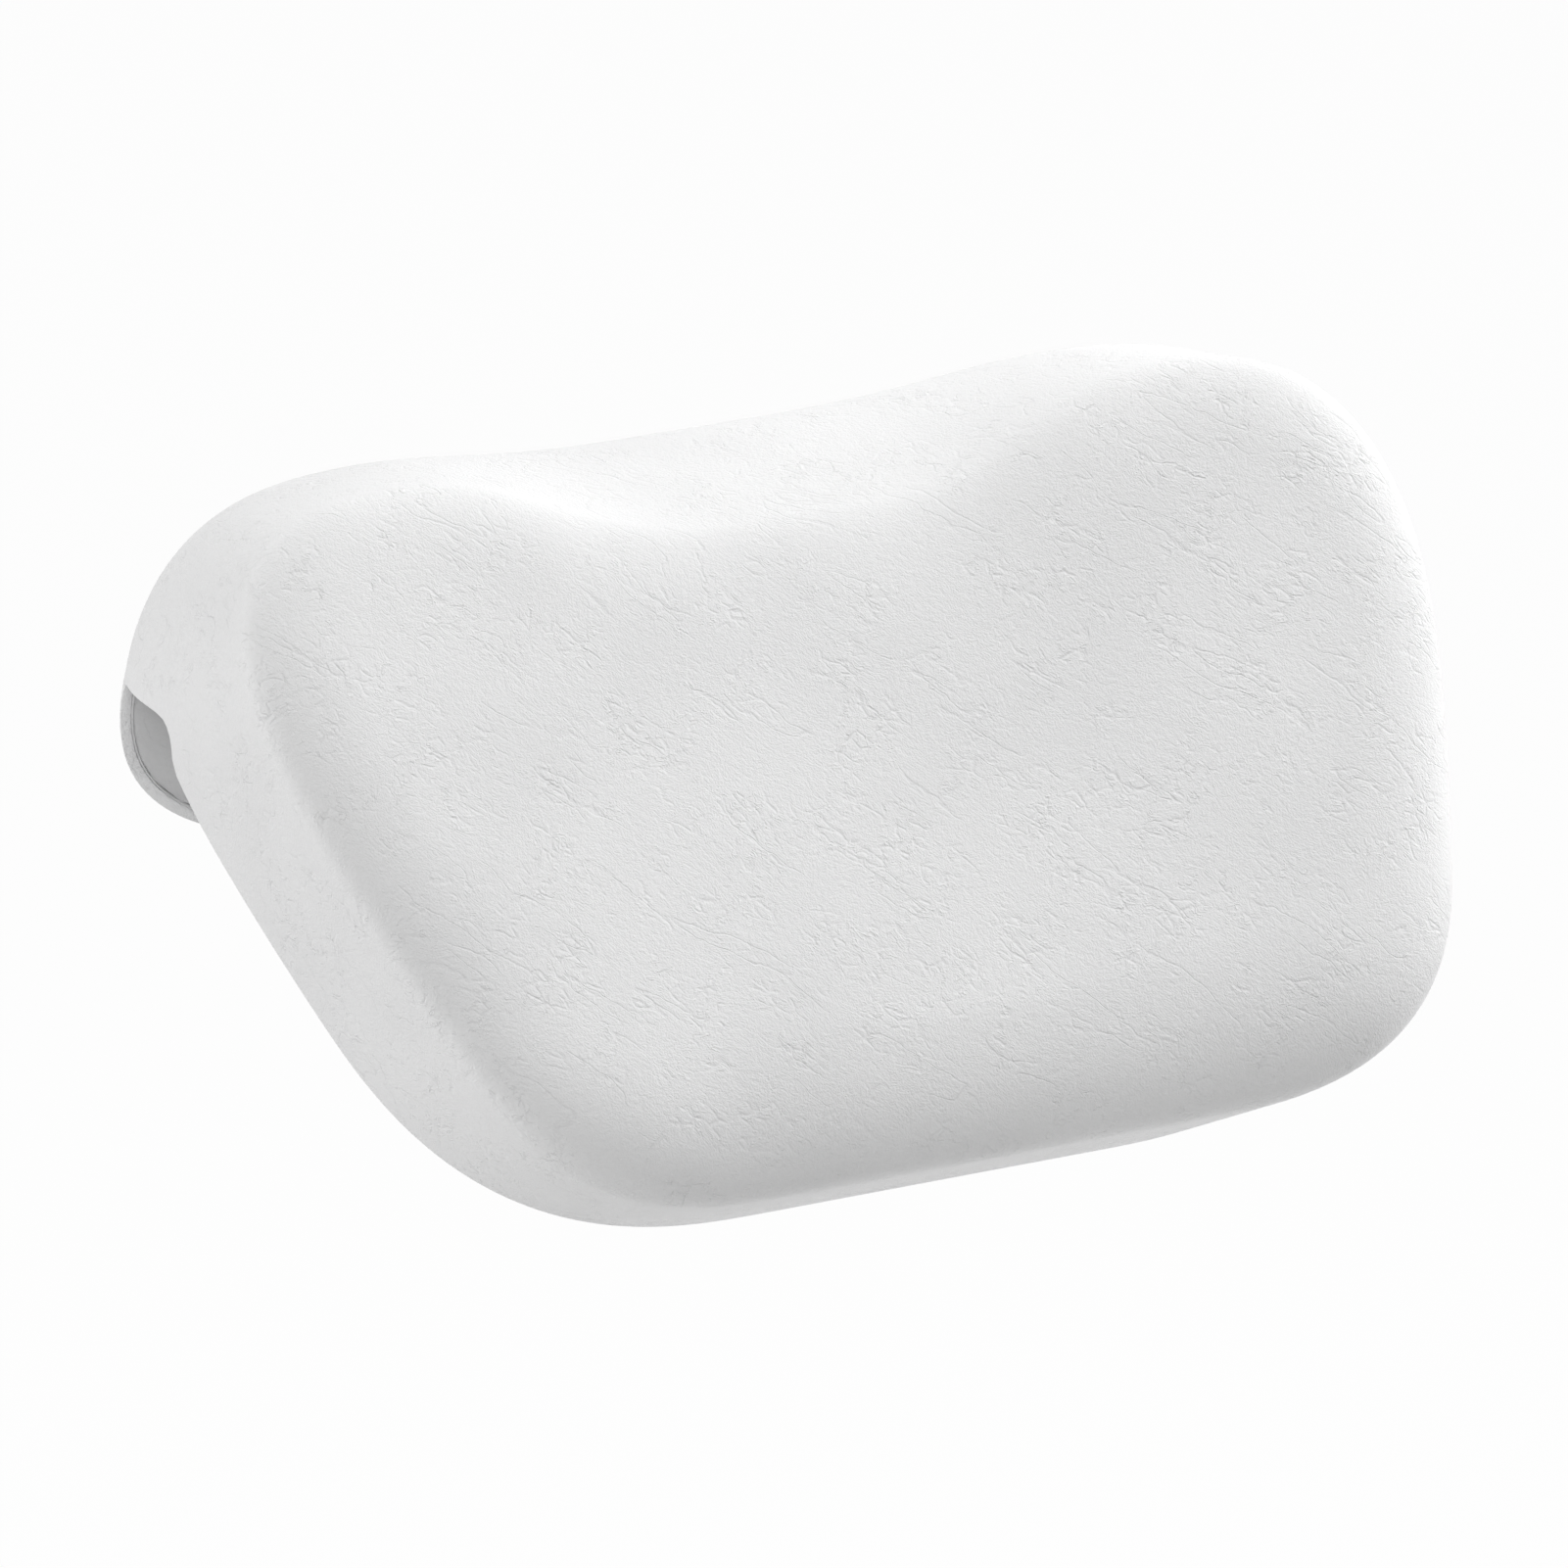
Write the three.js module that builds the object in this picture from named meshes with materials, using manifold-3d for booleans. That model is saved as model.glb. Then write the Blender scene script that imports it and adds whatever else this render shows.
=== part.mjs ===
// Bath pillow that hooks over the rim of a tub: a moulded foam head rest with a grained skin, a stiffened hook and
// four suction cups on its back. Millimetres, +X across the tub, +Y away from the bather, +Z up. The origin is the
// middle of the seat that lies on the rim.
import * as THREE from 'three';
import { mergeVertices } from 'three/addons/utils/BufferGeometryUtils.js';
import Module from 'manifold-3d';

const wasm = await Module();
wasm.setup();

// Head rest
const leanDegrees = 42.5;
const halfWidth = 177;
const flankTaperDegrees = 12.5;
const flankBulge = 10;
const flankDraft = 5.5;
const padThickness = 60.5;
const faceHollow = 4;
const faceCurl = 2.5;
const footSlopeDegrees = 15;

// Corners of the head rest, seen from the front, and how much softer they grow toward the back
const flankRadius = 52;
const earRadius = 86;
const footRadius = 50;
const cornerGrowthShare = 0.4;

// Top, from the ears down into the neck scoop and back to the crest
const earHeight = 177;
const neckDip = 21.5;
const neckReach = 77.5;
const crestDip = 6;
const ridgeSetback = 63;
const crestSetback = 117;
const topFallDegrees = 10.5;
const crownDrop = 20;

// Rounding of the edge round the face: how far it reaches into the outline, and how deep into the pad
const earEdgeRun = 11.5;
const earEdgeDepth = 6.5;
const flankEdgeRun = 33;
const flankEdgeDepth = 12;
const footEdgeRun = 49;
const footEdgeDepth = 23;

// Hook and the channel that the rim fits
const hookThickness = 63;
const hookBackRun = 66.5;
const hookBackDepth = 61.5;
const channelWidth = 35.5;
const channelWallHeight = 11.5;
const channelFillet = 7;
const lipDrop = 52;
const lipThickness = 40;
const lipRadius = 49.5;

// Skins, foam and the gap between pieces
const skinThickness = 3;
const fitGap = 0.3;
const cutOverrun = 12;

// Stiffener in the hook
const stiffenerThickness = 2;
const stiffenerWidth = 190;
const stiffenerLipMargin = 24.5;
const stiffenerClearance = 4;

// Suction cups and their sockets
const cupRadius = 18;
const cupHeight = 9;
const cupWall = 1.2;
const cupNeckRadius = 4;
const cupHeadRadius = 6.5;
const cupHeadThickness = 3;
const cupSpacing = 130;
const cupRowGap = 4;
const lowCupHeight = 34;
const tabLength = 5;
const tabWidth = 7;
const socketWall = 2;
const socketFlangeWidth = 5;
const socketMouthDepth = 5;

// Counts, and the powers that shape the rounding
const mouldingDivisions = 10;
const filletSteps = 5;
const turnSteps = 20;
const bisections = 40;
const cornerPower = 2.9;
const edgePower = 2.35;
const neckPower = 3.65;
const crownPower = 3.45;
const fadeSharpness = 5;
const gridCrowding = 0.9;

// Shares of the sizes that they follow
const heartDepthShare = 0.3;
const hollowWidthShare = 0.5;
const hollowLengthShare = 0.35;
const hollowHeightShare = 0.45;
const outlineLimitShares = { low: -0.3, high: 1.3 };
const cornerLimitShares = { low: -0.5, high: 1.2 };
const cupHeadChamferShare = 0.7;
const dishRootShares = { radius: 0.45, outside: 0.22, inside: 0.4 };
const dishWaistShares = { outer: 0.72, inner: 0.66, outside: 0.5, inside: 0.63 };
const neckHeightShare = 0.14;

const lean = THREE.MathUtils.degToRad(leanDegrees);
const flankTaper = Math.tan(THREE.MathUtils.degToRad(flankTaperDegrees));
const footSlope = Math.tan(THREE.MathUtils.degToRad(footSlopeDegrees));
const topFall = Math.tan(THREE.MathUtils.degToRad(topFallDegrees));
const headRestLength = earHeight / Math.cos(lean);
const seatHeight = earHeight - hookThickness;
const lipHeight = seatHeight - lipDrop;
const channelSetback = (seatHeight - channelWallHeight) * Math.tan(lean);
const lipSetback = channelSetback + channelWidth;
const hookSetback = lipSetback + lipThickness;
const seatSetback = channelSetback + channelWidth / 2;
const cupRowSpacing = 2 * (cupRadius + tabLength) + cupRowGap;

// The height up the back of the head rest, and the depth in front of that back, of a point
function alongBack(y, z) {
  return {
    up: y * Math.sin(lean) + z * Math.cos(lean),
    depth: z * Math.sin(lean) - y * Math.cos(lean),
  };
}

// How far a point stands toward a face: 0 well inside, 1 on the face, more outside it
function reach(past, softness) {
  return Math.max(0, 1 + past / softness);
}

// Height of the top surface: ears at the sides, a scoop for the neck that fades out toward the crest
function topHeight(x, y) {
  const scoop = Math.exp(-(Math.abs(x / neckReach) ** neckPower));
  const ramp = (crestSetback - y) / (crestSetback - ridgeSetback);
  const fade = Math.log1p(Math.exp(fadeSharpness * ramp)) / fadeSharpness;
  const dip = (neckDip * fade + crestDip) * scoop;
  const crown = crownDrop * Math.abs(x / halfWidth) ** crownPower;
  return earHeight - dip - crown - topFall * (y - ridgeSetback);
}

// The part of a size that a point has covered, kept between two limits
function shareOf(size, covered, limitShares) {
  return THREE.MathUtils.clamp(covered / size, limitShares.low, limitShares.high);
}

// Half the width of the moulding at a point: widest at the ears and the face, bulging between
function flankPlace(up, depth) {
  const upShare = shareOf(headRestLength, up, outlineLimitShares);
  const depthShare = shareOf(padThickness, depth, outlineLimitShares);
  const taper = flankTaper * (headRestLength - up);
  return halfWidth - taper + 4 * flankBulge * upShare * (1 - upShare) - flankDraft * (1 - depthShare);
}

// Depth of the face in front of the back: hollow in the middle, curling forward at the flanks
function faceDepth(x, up) {
  const acrossShare = x / halfWidth;
  const upShare = up / headRestLength;
  const hollowAcross = acrossShare / hollowWidthShare;
  const hollowUp = (upShare - hollowHeightShare) / hollowLengthShare;
  return padThickness + faceCurl * acrossShare ** 2 - faceHollow * Math.exp(-(hollowAcross ** 2) - hollowUp ** 2);
}

// Whether a point lies in the moulding before its channel is cut, drawn in on all sides by an inset
function insideMoulding(point, inset) {
  const { x, y, z } = point;
  const { up, depth } = alongBack(y, z);
  const growth = 1 + cornerGrowthShare * (1 - shareOf(padThickness, depth, cornerLimitShares));
  const flank = reach(Math.abs(x) - flankPlace(up, depth) + inset, flankRadius * growth - inset);
  const top = reach(z - topHeight(x, y) + inset, earRadius - inset);
  const foot = reach(inset - up - footSlope * depth, footRadius * growth - inset);
  const lip = reach(lipHeight - z + inset, lipRadius - inset);

  const sides = [top ** 2, flank ** 2, foot ** 2 + Number.EPSILON];
  const blend = (sizes) => (
    sizes.reduce((sum, size, i) => sum + size * sides[i], 0) / sides.reduce((sum, side) => sum + side, 0)
  );
  const run = blend([earEdgeRun, flankEdgeRun, footEdgeRun]);
  const rise = blend([earEdgeDepth, flankEdgeDepth, footEdgeDepth]);
  const face = reach(depth - faceDepth(x, up) + inset, rise - inset);
  const back = reach(y - hookSetback + inset, hookBackDepth - inset);

  const within = (low) => {
    const corner = (flank ** cornerPower + top ** cornerPower + low ** cornerPower) ** (1 / cornerPower);
    const outline = (flankRadius - inset) * (corner - 1);
    const front = reach(outline, run - inset) ** edgePower + face ** edgePower;
    const rear = reach(outline, hookBackRun - inset) ** edgePower + back ** edgePower;
    return Math.max(front, rear) < 1;
  };
  const headRest = within(foot) && depth > inset - cutOverrun;
  return headRest || within(lip);
}

// Splits each cell of a box's grid along the diagonal that stands out more, so that rounded corners stay full and
// the two sides of the part stay alike
function splitOutward(geometry) {
  const { index } = geometry;
  for (let cell = 0; cell < index.count; cell += 6) {
    const [a, b, d, , c] = Array.from({ length: 6 }, (_, step) => index.getX(cell + step));
    const [cornerA, cornerB, cornerC, cornerD] = [a, b, c, d].map((vertex) => (
      new THREE.Vector3().fromBufferAttribute(geometry.attributes.position, vertex)
    ));
    const outward = cornerC.clone().sub(cornerA).cross(cornerD.clone().sub(cornerB));
    if (outward.dot(cornerA.add(cornerC).sub(cornerB).sub(cornerD)) > 0) {
      [a, b, c, a, c, d].forEach((vertex, step) => index.setX(cell + step, vertex));
    }
  }
}

// The moulding as a closed mesh: the grid of a box that leans with the head rest, drawn onto the surface along rays
// from a point inside it
function mouldingGeometry(inset) {
  const geometry = new THREE.BoxGeometry(1, 1, 1, ...Array(3).fill(mouldingDivisions));
  geometry.deleteAttribute('normal');
  geometry.deleteAttribute('uv');
  const across = new THREE.Vector3(1, 0, 0);
  const up = new THREE.Vector3(0, Math.sin(lean), Math.cos(lean));
  const forward = new THREE.Vector3(0, -Math.cos(lean), Math.sin(lean));
  const heartUp = headRestLength / 2;
  const heartDepth = padThickness * heartDepthShare;
  const heart = up.clone().multiplyScalar(heartUp).addScaledVector(forward, heartDepth);
  const hookDepth = hookSetback * Math.cos(lean) - lipHeight * Math.sin(lean);
  const spread = (share) => Math.sin(2 * share * gridCrowding) / Math.sin(gridCrowding);
  const position = geometry.attributes.position;
  const ray = new THREE.Vector3();
  const point = new THREE.Vector3();
  for (let i = 0; i < position.count; i += 1) {
    const forwardShare = spread(position.getZ(i));
    const depthSpan = forwardShare > 0 ? padThickness - heartDepth : hookDepth + heartDepth;
    ray.set(0, 0, 0).addScaledVector(across, spread(position.getX(i)) * halfWidth);
    ray.addScaledVector(up, spread(position.getY(i)) * heartUp).addScaledVector(forward, forwardShare * depthSpan);
    let near = 0;
    let far = 2;
    for (let step = 0; step < bisections; step += 1) {
      const middle = (near + far) / 2;
      point.copy(heart).addScaledVector(ray, middle);
      if (insideMoulding(point, inset)) near = middle;
      else far = middle;
    }
    point.copy(heart).addScaledVector(ray, near);
    position.setXYZ(i, point.x, point.y, point.z);
  }
  splitOutward(geometry);
  return mergeVertices(geometry);
}

// A closed mesh as a solid for cutting and joining
function solidFrom(geometry) {
  const plain = geometry.clone();
  plain.deleteAttribute('normal');
  plain.deleteAttribute('uv');
  const merged = mergeVertices(plain);
  const corners = [];
  for (let i = 0; i < merged.index.count; i += 3) {
    const [a, b, c] = [0, 1, 2].map((corner) => merged.index.getX(i + corner));
    if (a !== b && b !== c && c !== a) corners.push(a, b, c);
  }
  return new wasm.Manifold(new wasm.Mesh({
    numProp: 3,
    vertProperties: Float32Array.from(merged.attributes.position.array),
    triVerts: Uint32Array.from(corners),
  }));
}

function geometryFrom(solid) {
  const { vertProperties, triVerts } = solid.getMesh();
  const geometry = new THREE.BufferGeometry();
  geometry.setAttribute('position', new THREE.BufferAttribute(vertProperties, 3));
  geometry.setIndex(new THREE.BufferAttribute(triVerts, 1));
  geometry.computeVertexNormals();
  return geometry;
}

// The channel's outline from the side, grown by an offset into the foam, extruded across the part. The shape is
// drawn with x along +Y and y along +Z.
function channelSolid(offset, width) {
  const fillet = channelFillet + offset;
  const front = channelSetback - offset;
  const seat = seatHeight + offset;
  const lip = lipSetback + offset;
  const below = -hookSetback;
  const slantAt = (z) => (z * Math.sin(lean) - offset) / Math.cos(lean);
  const shape = new THREE.Shape();
  shape.moveTo(slantAt(below), below);
  shape.lineTo(front, (front * Math.cos(lean) + offset) / Math.sin(lean));
  shape.absarc(front + fillet, seat - fillet, fillet, Math.PI, Math.PI / 2, true);
  shape.absarc(lip - fillet, seat - fillet, fillet, Math.PI / 2, 0, true);
  shape.lineTo(lip, below);
  shape.closePath();
  const geometry = new THREE.ExtrudeGeometry(shape, {
    depth: width,
    bevelEnabled: false,
    curveSegments: filletSteps,
    steps: 1,
  });
  geometry.translate(0, 0, -width / 2);
  geometry.applyMatrix4(new THREE.Matrix4().makeBasis(
    new THREE.Vector3(0, 1, 0),
    new THREE.Vector3(0, 0, 1),
    new THREE.Vector3(1, 0, 0),
  ));
  return solidFrom(geometry);
}

function boxSolid(low, high) {
  const size = new THREE.Vector3().subVectors(high, low);
  const middle = new THREE.Vector3().addVectors(low, high).multiplyScalar(0.5);
  const geometry = new THREE.BoxGeometry(size.x, size.y, size.z);
  geometry.translate(middle.x, middle.y, middle.z);
  return solidFrom(geometry);
}

// Places on the back of the head rest. Local +Z points out of the back, toward the wall of the tub.
function backPlacement(x, up) {
  const placement = new THREE.Object3D();
  placement.position.set(x, up * Math.sin(lean), up * Math.cos(lean));
  placement.rotation.x = -Math.PI / 2 - lean;
  placement.updateMatrix();
  return placement;
}

const cupPlaces = [0, 1].flatMap((row) => [-1, 1].map((side) => (
  backPlacement(side * cupSpacing / 2, lowCupHeight + row * cupRowSpacing)
)));

function turned(points) {
  const profile = points.map(([radius, height]) => new THREE.Vector2(radius, height));
  const geometry = new THREE.LatheGeometry(profile, turnSteps);
  geometry.rotateX(Math.PI / 2);
  return geometry;
}

// Socket: a closed bushing with a flange behind the skin and a mouth that the cup's head snaps through
const socketInnerRadius = cupHeadRadius + fitGap;
const socketOuterRadius = socketInnerRadius + socketWall;
const socketFlangeRadius = socketOuterRadius + socketFlangeWidth;
const socketFlangeTop = -(skinThickness + fitGap);
const socketFlangeBottom = socketFlangeTop - socketWall;
const socketChamber = -socketMouthDepth - cupHeadThickness - 2 * fitGap;
const socketBottom = socketChamber - socketWall;

const socketGeometry = turned([
  [0, socketBottom],
  [socketOuterRadius, socketBottom],
  [socketOuterRadius, socketFlangeBottom],
  [socketFlangeRadius, socketFlangeBottom],
  [socketFlangeRadius, socketFlangeTop],
  [socketOuterRadius, socketFlangeTop],
  [socketOuterRadius, 0],
  [cupNeckRadius + fitGap, 0],
  [cupNeckRadius + fitGap, -socketMouthDepth],
  [socketInnerRadius, -socketMouthDepth],
  [socketInnerRadius, socketChamber],
  [0, socketChamber],
]);

// The room that a socket takes in the foam, and the hole that it fills in the skin
const socketRoomGeometry = turned([
  [0, socketBottom - fitGap],
  [socketOuterRadius + fitGap, socketBottom - fitGap],
  [socketOuterRadius + fitGap, socketFlangeBottom - fitGap],
  [socketFlangeRadius + fitGap, socketFlangeBottom - fitGap],
  [socketFlangeRadius + fitGap, socketFlangeTop + fitGap],
  [socketOuterRadius + fitGap, socketFlangeTop + fitGap],
  [socketOuterRadius + fitGap, cutOverrun],
  [0, cutOverrun],
]);

// Suction cup: a head in the socket, a neck, a flared dish and a pull tab on its rim
const headBottom = socketChamber + fitGap;
const headTop = -socketMouthDepth - fitGap;
const dishRoot = cupRadius * dishRootShares.radius;
const cupBodyGeometry = turned([
  [0, headBottom],
  [cupHeadRadius * cupHeadChamferShare, headBottom],
  [cupHeadRadius, headTop - cupHeadThickness / 3],
  [cupHeadRadius, headTop],
  [cupNeckRadius, headTop],
  [cupNeckRadius, cupHeight * neckHeightShare],
  [dishRoot, cupHeight * dishRootShares.outside],
  [cupRadius * dishWaistShares.outer, cupHeight * dishWaistShares.outside],
  [cupRadius, cupHeight - cupWall / 2],
  [cupRadius, cupHeight],
  [cupRadius - cupWall, cupHeight],
  [cupRadius * dishWaistShares.inner, cupHeight * dishWaistShares.inside],
  [dishRoot, cupHeight * dishRootShares.inside],
  [0, cupHeight * dishRootShares.inside],
]);

function tabGeometry() {
  const root = cupRadius - cupWall;
  const end = cupRadius + tabLength - tabWidth / 2;
  const shape = new THREE.Shape();
  shape.moveTo(-tabWidth / 2, root);
  shape.lineTo(tabWidth / 2, root);
  shape.lineTo(tabWidth / 2, end);
  shape.absarc(0, end, tabWidth / 2, 0, Math.PI, false);
  shape.closePath();
  const geometry = new THREE.ExtrudeGeometry(shape, {
    depth: cupWall,
    bevelEnabled: false,
    curveSegments: filletSteps,
  });
  geometry.translate(0, 0, cupHeight - cupWall);
  return geometry;
}

const cupGeometry = geometryFrom(solidFrom(cupBodyGeometry).add(solidFrom(tabGeometry())));

// Cutters, each wider than the moulding
const cutWidth = 2 * (halfWidth + flankBulge + cutOverrun);
const channel = channelSolid(0, cutWidth);
const skinBack = channelSolid(skinThickness, cutWidth);
const foamFront = channelSolid(skinThickness + fitGap, cutWidth);
const plateBack = channelSolid(skinThickness + fitGap + stiffenerThickness, cutWidth);
const plateRoom = channelSolid(skinThickness + 2 * fitGap + stiffenerThickness, cutWidth);

const skinCavity = solidFrom(mouldingGeometry(skinThickness));
const foamBlock = solidFrom(mouldingGeometry(skinThickness + fitGap));
const socketRooms = cupPlaces.map((place) => solidFrom(socketRoomGeometry.clone().applyMatrix4(place.matrix)));

function outerSkinSolid() {
  return solidFrom(mouldingGeometry(0)).subtract(skinCavity).subtract(channel);
}

function channelSkinSolid() {
  let skin = skinBack.subtract(channel).intersect(foamBlock);
  for (const room of socketRooms) skin = skin.subtract(room);
  return skin;
}

// The plate follows the channel: up the back of the head rest, over the seat and down the lip
function stiffenerWindow(margin) {
  const legUp = lowCupHeight + cupRowSpacing + socketFlangeRadius + stiffenerClearance - margin;
  const legFoot = legUp * Math.cos(lean) + skinThickness * Math.sin(lean);
  const lipFoot = lipHeight + stiffenerLipMargin - margin;
  const halfPlate = stiffenerWidth / 2 + margin;
  const above = seatHeight + cutOverrun;
  const frontPart = boxSolid(
    new THREE.Vector3(-halfPlate, 0, legFoot),
    new THREE.Vector3(halfPlate, seatSetback, above),
  );
  const rearPart = boxSolid(
    new THREE.Vector3(-halfPlate, seatSetback - cutOverrun, lipFoot),
    new THREE.Vector3(halfPlate, lipSetback + cutOverrun, above),
  );
  return frontPart.add(rearPart);
}

function stiffenerSolid() {
  return plateBack.subtract(foamFront).intersect(stiffenerWindow(0));
}

function foamCoreSolid() {
  let foam = foamBlock.subtract(foamFront).subtract(plateRoom.intersect(stiffenerWindow(fitGap)));
  for (const room of socketRooms) foam = foam.subtract(room);
  return foam;
}

const skinMaterial = { color: 0xf2f1ef, roughness: 0.55, metalness: 0 };
const foamMaterial = { color: 0xf3ecd8, roughness: 0.95, metalness: 0 };
const plateMaterial = { color: 0x8f9193, roughness: 0.5, metalness: 0 };
const socketMaterial = { color: 0xe6e6e2, roughness: 0.5, metalness: 0 };
const cupMaterial = { color: 0xdfe6ea, roughness: 0.2, metalness: 0 };

function named(name, geometry, finish) {
  const mesh = new THREE.Mesh(geometry, new THREE.MeshStandardMaterial(finish));
  mesh.name = name;
  return mesh;
}

const pillow = new THREE.Group();
pillow.name = 'bath_pillow';
pillow.position.set(0, -seatSetback, -seatHeight);

pillow.add(named('outer_skin', geometryFrom(outerSkinSolid()), skinMaterial));
pillow.add(named('channel_skin', geometryFrom(channelSkinSolid()), skinMaterial));
pillow.add(named('foam_core', geometryFrom(foamCoreSolid()), foamMaterial));
pillow.add(named('hook_stiffener', geometryFrom(stiffenerSolid()), plateMaterial));

cupPlaces.forEach((place, index) => {
  const socket = named(`cup_socket_${index + 1}`, geometryFrom(solidFrom(socketGeometry)), socketMaterial);
  const cup = named(`suction_cup_${index + 1}`, cupGeometry.clone(), cupMaterial);
  for (const piece of [socket, cup]) {
    piece.position.copy(place.position);
    piece.rotation.copy(place.rotation);
    pillow.add(piece);
  }
});

export default pillow;
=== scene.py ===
import math

import bpy
import numpy as np
from mathutils import Matrix, Vector


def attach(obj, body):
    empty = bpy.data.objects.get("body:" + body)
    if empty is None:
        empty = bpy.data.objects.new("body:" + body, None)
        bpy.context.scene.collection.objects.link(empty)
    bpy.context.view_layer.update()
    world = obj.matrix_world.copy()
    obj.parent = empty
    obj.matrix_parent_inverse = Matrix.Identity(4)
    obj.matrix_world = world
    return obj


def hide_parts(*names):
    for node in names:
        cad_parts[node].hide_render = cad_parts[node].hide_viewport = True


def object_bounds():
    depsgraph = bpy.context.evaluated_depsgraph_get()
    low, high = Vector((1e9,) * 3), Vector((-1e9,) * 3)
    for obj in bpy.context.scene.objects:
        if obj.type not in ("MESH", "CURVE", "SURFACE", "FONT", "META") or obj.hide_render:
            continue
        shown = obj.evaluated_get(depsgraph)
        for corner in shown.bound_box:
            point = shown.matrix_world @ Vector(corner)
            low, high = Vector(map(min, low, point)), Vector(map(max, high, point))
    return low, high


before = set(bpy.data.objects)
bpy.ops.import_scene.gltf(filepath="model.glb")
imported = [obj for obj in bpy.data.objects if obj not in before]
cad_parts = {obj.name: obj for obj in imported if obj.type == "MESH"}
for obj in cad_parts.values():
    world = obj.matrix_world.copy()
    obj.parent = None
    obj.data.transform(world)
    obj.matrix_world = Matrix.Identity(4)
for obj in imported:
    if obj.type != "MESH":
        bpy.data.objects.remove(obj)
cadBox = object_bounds()
print("frame loaded")

millimetre = 0.001  # the pieces' sizes are in millimetres, the stage's and the finishes' in metres


# The moulding, measured from the back edge of its foot: x across, y back, z up
moulding = {
    "leanDegrees": 42.5,
    "halfWidth": 177,
    "flankTaperDegrees": 12.5,
    "flankBulge": 10,
    "flankDraft": 5.5,
    "padThickness": 60.5,
    "faceHollow": 4,
    "faceCurl": 2.5,
    "footSlopeDegrees": 15,
    "flankRadius": 52,
    "earRadius": 86,
    "footRadius": 50,
    "cornerGrowthShare": 0.4,
    "earHeight": 177,
    "neckDip": 21.5,
    "neckReach": 77.5,
    "crestDip": 6,
    "ridgeSetback": 63,
    "crestSetback": 117,
    "topFallDegrees": 10.5,
    "crownDrop": 20,
    "edgeRuns": {"ear": 11.5, "flank": 33, "foot": 49},
    "edgeDepths": {"ear": 6.5, "flank": 12, "foot": 23},
    "hookThickness": 63,
    "hookBackRun": 66.5,
    "hookBackDepth": 61.5,
    "lipDrop": 52,
    "lipThickness": 40,
    "lipRadius": 49.5,
    "cornerPower": 2.9,
    "edgePower": 2.35,
    "neckPower": 3.65,
    "crownPower": 3.45,
    "fadeSharpness": 5,
    "flankShareRange": (-0.3, 1.3),
    "growthShareRange": (-0.5, 1.2),
    "leastWeight": 1e-9,
    "hollowWidthShare": 0.5,
    "hollowLengthShare": 0.35,
    "hollowHeightShare": 0.45,
    "heartDepthShare": 0.3,
    "backOverrun": 12,
}

channel = {
    "width": 35.5,
    "wallHeight": 11.5,
    "fillet": 7,
}

search = {  # how far out, and in how many steps, points are brought onto a surface
    "farthestShare": 2.5,
    "widestShare": 1.2,
    "halvings": 34,
    "partingLineSteps": 8,
    "channelSteps": 3,
}

lean = math.radians(moulding["leanDegrees"])
flankTaper = math.tan(math.radians(moulding["flankTaperDegrees"]))
footSlope = math.tan(math.radians(moulding["footSlopeDegrees"]))
topFall = math.tan(math.radians(moulding["topFallDegrees"]))
headRestLength = moulding["earHeight"] / math.cos(lean)
seatHeight = moulding["earHeight"] - moulding["hookThickness"]
lipHeight = seatHeight - moulding["lipDrop"]
channelSetback = (seatHeight - channel["wallHeight"]) * math.tan(lean)
lipSetback = channelSetback + channel["width"]
hookSetback = lipSetback + moulding["lipThickness"]
seatSetback = channelSetback + channel["width"] / 2
partOrigin = np.array([0, seatSetback, seatHeight])  # the middle of the seat on the rim

across = np.array([1.0, 0, 0])
upSlab = np.array([0, math.sin(lean), math.cos(lean)])
outOfFace = np.array([0, -math.cos(lean), math.sin(lean)])
heartDepth = moulding["padThickness"] * moulding["heartDepthShare"]
heart = upSlab * headRestLength / 2 + outOfFace * heartDepth


def reach(past, softness):  # 0 well inside a face, 1 on it, more outside it
    return np.maximum(0, 1 + past / softness)


def topHeight(x, y):
    scoop = np.exp(-(np.abs(x / moulding["neckReach"]) ** moulding["neckPower"]))
    ramp = (moulding["crestSetback"] - y) / (moulding["crestSetback"] - moulding["ridgeSetback"])
    fade = np.logaddexp(0, moulding["fadeSharpness"] * ramp) / moulding["fadeSharpness"]
    dip = (moulding["neckDip"] * fade + moulding["crestDip"]) * scoop
    crown = moulding["crownDrop"] * np.abs(x / moulding["halfWidth"]) ** moulding["crownPower"]
    return moulding["earHeight"] - dip - crown - topFall * (y - moulding["ridgeSetback"])


def flankPlace(up, depth):
    upShare = np.clip(up / headRestLength, *moulding["flankShareRange"])
    depthShare = np.clip(depth / moulding["padThickness"], *moulding["flankShareRange"])
    bulge = 4 * moulding["flankBulge"] * upShare * (1 - upShare)
    taper = flankTaper * (headRestLength - up)
    return moulding["halfWidth"] - taper + bulge - moulding["flankDraft"] * (1 - depthShare)


def faceDepth(x, up):
    acrossShare = x / moulding["halfWidth"]
    hollowAcross = acrossShare / moulding["hollowWidthShare"]
    hollowUp = (up / headRestLength - moulding["hollowHeightShare"]) / moulding["hollowLengthShare"]
    hollow = moulding["faceHollow"] * np.exp(-(hollowAcross**2) - hollowUp**2)
    return moulding["padThickness"] + moulding["faceCurl"] * acrossShare**2 - hollow


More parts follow.
